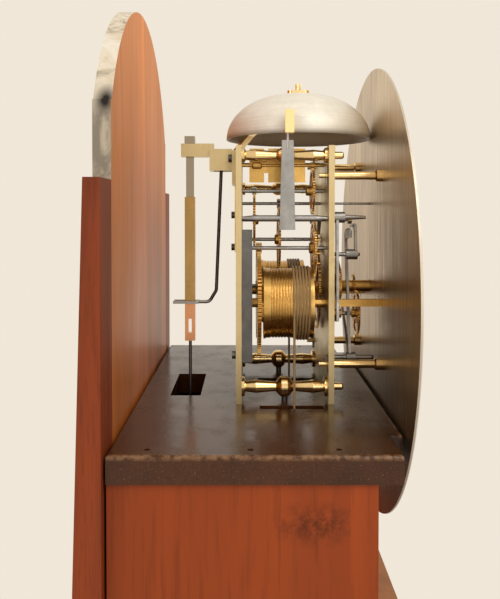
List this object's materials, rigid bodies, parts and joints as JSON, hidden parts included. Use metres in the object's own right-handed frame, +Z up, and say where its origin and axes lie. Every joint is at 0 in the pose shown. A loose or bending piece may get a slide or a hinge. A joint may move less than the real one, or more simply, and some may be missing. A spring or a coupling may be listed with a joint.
{
  "type": "longcase clock",
  "caption": "Tall case clock with its hood off: arched backboard, seat board, brass striking movement with bell, round dial, pendulum, weights, trunk with a door, and a plinth.",
  "frame": {"origin": "centre of the footprint on the floor", "axes": "+Z up, dial faces -Y, X across the clock with +X on the right seen from the front"},
  "size_m": [0.408, 0.2104, 1.8418],
  "materials": {
    "oak_board": "worn varnish",
    "mahogany": "polished",
    "seat_wood": "dark waxed",
    "plate_brass": "satin",
    "polished_brass": "polished",
    "wheel_brass": "turned",
    "bell_metal": "grey turned bell metal",
    "dial_brass": "silvered front, scraped brass behind",
    "steel": "worked steel",
    "blue_steel": "blued",
    "lead_weight": "cast",
    "bob_brass": "lacquered",
    "gut_line": "twisted line"
  },
  "bodies": {
    "clock": {"backboard": "oak_board", "backboard_strips": "mahogany", "trunk_sides": "mahogany", "trunk_front_frame": "mahogany", "throat_moulding": "mahogany", "base_moulding": "mahogany", "base_front_panel": "mahogany", "base_sides": "mahogany", "skirting": "mahogany", "door_hinge_case_leaves": "polished_brass", "seat_board": "seat_wood", "back_plate": "plate_brass", "front_plate": "plate_brass", "pillars": "polished_brass", "taper_pins": "steel", "dial_feet": "polished_brass", "back_cock": "polished_brass", "bell_stand": "polished_brass", "bell": "bell_metal", "hammer_spring": "steel", "steel_screws": "steel", "dial": "dial_brass", "front_studs": "steel"},
    "door": {"trunk_door": "mahogany", "door_hinge_door_leaves": "polished_brass", "door_lock": "polished_brass"},
    "going_weight": {"going_weight": "lead_weight", "going_line": "gut_line"},
    "going_pulley": {"going_pulley": "polished_brass"},
    "going_barrel": {"going_barrel": "wheel_brass", "going_line_turns": "gut_line"},
    "strike_weight": {"strike_weight": "lead_weight", "strike_line": "gut_line"},
    "strike_pulley": {"strike_pulley": "polished_brass"},
    "strike_barrel": {"strike_barrel": "wheel_brass", "strike_line_turns": "gut_line"},
    "third_wheel": {"third_wheel": "wheel_brass"},
    "going_great_wheel": {"going_great_wheel": "wheel_brass"},
    "centre_wheel": {"centre_wheel": "wheel_brass"},
    "escape_wheel": {"escape_wheel": "wheel_brass", "seconds_hand": "blue_steel"},
    "warning_wheel": {"warning_wheel": "wheel_brass"},
    "strike_great_wheel": {"strike_great_wheel": "wheel_brass"},
    "pin_wheel": {"pin_wheel": "wheel_brass"},
    "pallet_wheel": {"pallet_wheel": "wheel_brass"},
    "fly": {"fly": "wheel_brass"},
    "cannon": {"cannon_wheel": "wheel_brass", "minute_hand": "blue_steel"},
    "minute_wheel": {"minute_wheel": "wheel_brass"},
    "hour_wheel": {"hour_wheel": "wheel_brass", "hour_hand": "blue_steel"},
    "date_wheel": {"date_wheel": "wheel_brass"},
    "pendulum": {"pendulum_block": "polished_brass", "pendulum_rod": "steel", "pendulum_bob": "bob_brass"},
    "pallets": {"pallets_and_crutch": "steel"},
    "hammer": {"hammer": "steel"},
    "rack": {"rack": "steel"},
    "rack_hook": {"rack_hook": "steel"},
    "lifting_piece": {"lifting_piece": "steel"}
  },
  "joints": [
    {"name": "door_hinge", "type": "hinge", "parent": "clock", "child": "door", "pos_m": [0.1121, -0.068, 0.959], "axis": [0, 0, 1], "range_deg": [0, 110]},
    {"name": "going_weight_slide", "type": "slide", "parent": "clock", "child": "going_weight", "axis": [0, 0, 1], "range_m": [-0.24, 0.77], "deforming": ["going_line"]},
    {"name": "going_barrel_turn", "type": "hinge", "parent": "clock", "child": "going_barrel", "pos_m": [0.041, -0.0108, 1.6279], "axis": [0, 1, 0], "range_deg": [-1063, 3408]},
    {"name": "going_pulley_turn", "type": "hinge", "parent": "going_weight", "child": "going_pulley", "pos_m": [0.0395, -0.0237, 0.673], "axis": [0, 1, 0], "range_deg": [-565, 1810]},
    {"name": "strike_weight_slide", "type": "slide", "parent": "clock", "child": "strike_weight", "axis": [0, 0, 1], "range_m": [-0.24, 0.77], "deforming": ["strike_line"]},
    {"name": "strike_barrel_turn", "type": "hinge", "parent": "clock", "child": "strike_barrel", "pos_m": [-0.041, -0.0108, 1.6279], "axis": [0, 1, 0], "range_deg": [-1063, 3408]},
    {"name": "strike_pulley_turn", "type": "hinge", "parent": "strike_weight", "child": "strike_pulley", "pos_m": [-0.0913, -0.0226, 0.673], "axis": [0, 1, 0], "range_deg": [-1810, 565]},
    {"name": "third_wheel_turn", "type": "hinge", "parent": "clock", "child": "third_wheel", "pos_m": [0.004, -0.0108, 1.672], "axis": [0, 1, 0], "continuous": true},
    {"name": "centre_wheel_turn", "type": "hinge", "parent": "clock", "child": "centre_wheel", "pos_m": [0, -0.0108, 1.636], "axis": [0, 1, 0], "continuous": true},
    {"name": "going_great_wheel_turn", "type": "hinge", "parent": "clock", "child": "going_great_wheel", "pos_m": [0.041, -0.0108, 1.6279], "axis": [0, 1, 0], "continuous": true},
    {"name": "escape_wheel_turn", "type": "hinge", "parent": "clock", "child": "escape_wheel", "pos_m": [0, -0.0108, 1.6999], "axis": [0, 1, 0], "continuous": true},
    {"name": "warning_wheel_turn", "type": "hinge", "parent": "clock", "child": "warning_wheel", "pos_m": [-0.027, -0.0108, 1.7088], "axis": [0, 1, 0], "continuous": true},
    {"name": "pallet_wheel_turn", "type": "hinge", "parent": "clock", "child": "pallet_wheel", "pos_m": [-0.027, -0.0108, 1.6876], "axis": [0, 1, 0], "continuous": true},
    {"name": "pin_wheel_turn", "type": "hinge", "parent": "clock", "child": "pin_wheel", "pos_m": [-0.038, -0.0108, 1.66725], "axis": [0, 1, 0], "continuous": true},
    {"name": "strike_great_wheel_turn", "type": "hinge", "parent": "clock", "child": "strike_great_wheel", "pos_m": [-0.041, -0.0108, 1.6279], "axis": [0, 1, 0], "continuous": true},
    {"name": "fly_turn", "type": "hinge", "parent": "clock", "child": "fly", "pos_m": [-0.03, -0.0108, 1.7274], "axis": [0, 1, 0], "continuous": true},
    {"name": "minute_hand_turn", "type": "hinge", "parent": "clock", "child": "cannon", "pos_m": [0, -0.0608, 1.636], "axis": [0, 1, 0], "continuous": true},
    {"name": "minute_wheel_turn", "type": "hinge", "parent": "clock", "child": "minute_wheel", "pos_m": [-0.016, -0.0608, 1.6168], "axis": [0, 1, 0], "continuous": true},
    {"name": "hour_wheel_turn", "type": "hinge", "parent": "clock", "child": "hour_wheel", "pos_m": [0, -0.0608, 1.636], "axis": [0, 1, 0], "continuous": true},
    {"name": "date_wheel_turn", "type": "hinge", "parent": "clock", "child": "date_wheel", "pos_m": [-0.016, -0.0608, 1.6168], "axis": [0, 1, 0], "continuous": true},
    {"name": "pendulum_swing", "type": "hinge", "parent": "clock", "child": "pendulum", "pos_m": [0, 0.0542, 1.736], "axis": [0, 1, 0], "range_deg": [-2.5, 2.5]},
    {"name": "pallets_swing", "type": "hinge", "parent": "clock", "child": "pallets", "pos_m": [0, 0.0292, 1.73], "axis": [0, 1, 0], "range_deg": [-2.7, 2.7]},
    {"name": "hammer_swing", "type": "hinge", "parent": "clock", "child": "hammer", "pos_m": [-0.055, -0.0183, 1.6888], "axis": [0, 1, 0], "range_deg": [-14, 0], "stiffness_Nm_per_rad": 0.03, "springref_deg": 20.05},
    {"name": "rack_turn", "type": "hinge", "parent": "clock", "child": "rack", "pos_m": [-0.03, -0.0657, 1.586], "axis": [0, 1, 0], "range_deg": [-10.6, 0]},
    {"name": "rack_hook_turn", "type": "hinge", "parent": "clock", "child": "rack_hook", "pos_m": [-0.044, -0.0678, 1.663], "axis": [0, 1, 0], "range_deg": [-8, 0]},
    {"name": "lifting_piece_turn", "type": "hinge", "parent": "clock", "child": "lifting_piece", "pos_m": [-0.05, -0.0538, 1.6895], "axis": [0, 1, 0], "range_deg": [0, 8]}
  ],
  "couplings": [
    {"joint": "going_barrel_turn", "follows": "going_weight_slide", "rad_per_m": 77.22},
    {"joint": "going_pulley_turn", "follows": "going_weight_slide", "rad_per_m": 40.984},
    {"joint": "strike_barrel_turn", "follows": "strike_weight_slide", "rad_per_m": 77.22},
    {"joint": "strike_pulley_turn", "follows": "strike_weight_slide", "rad_per_m": -40.984},
    {"joint": "centre_wheel_turn", "follows": "third_wheel_turn", "ratio": -0.13333},
    {"joint": "going_great_wheel_turn", "follows": "third_wheel_turn", "ratio": 0.011111},
    {"joint": "escape_wheel_turn", "follows": "third_wheel_turn", "ratio": -8},
    {"joint": "pallet_wheel_turn", "follows": "warning_wheel_turn", "ratio": -0.125},
    {"joint": "pin_wheel_turn", "follows": "warning_wheel_turn", "ratio": 0.015625},
    {"joint": "strike_great_wheel_turn", "follows": "warning_wheel_turn", "ratio": -0.0014881},
    {"joint": "fly_turn", "follows": "warning_wheel_turn", "ratio": -8},
    {"joint": "minute_wheel_turn", "follows": "minute_hand_turn", "ratio": -0.5},
    {"joint": "hour_wheel_turn", "follows": "minute_hand_turn", "ratio": 0.083333},
    {"joint": "date_wheel_turn", "follows": "minute_hand_turn", "ratio": -0.041667},
    {"joint": "pallets_swing", "follows": "pendulum_swing", "ratio": 1.0563}
  ]
}
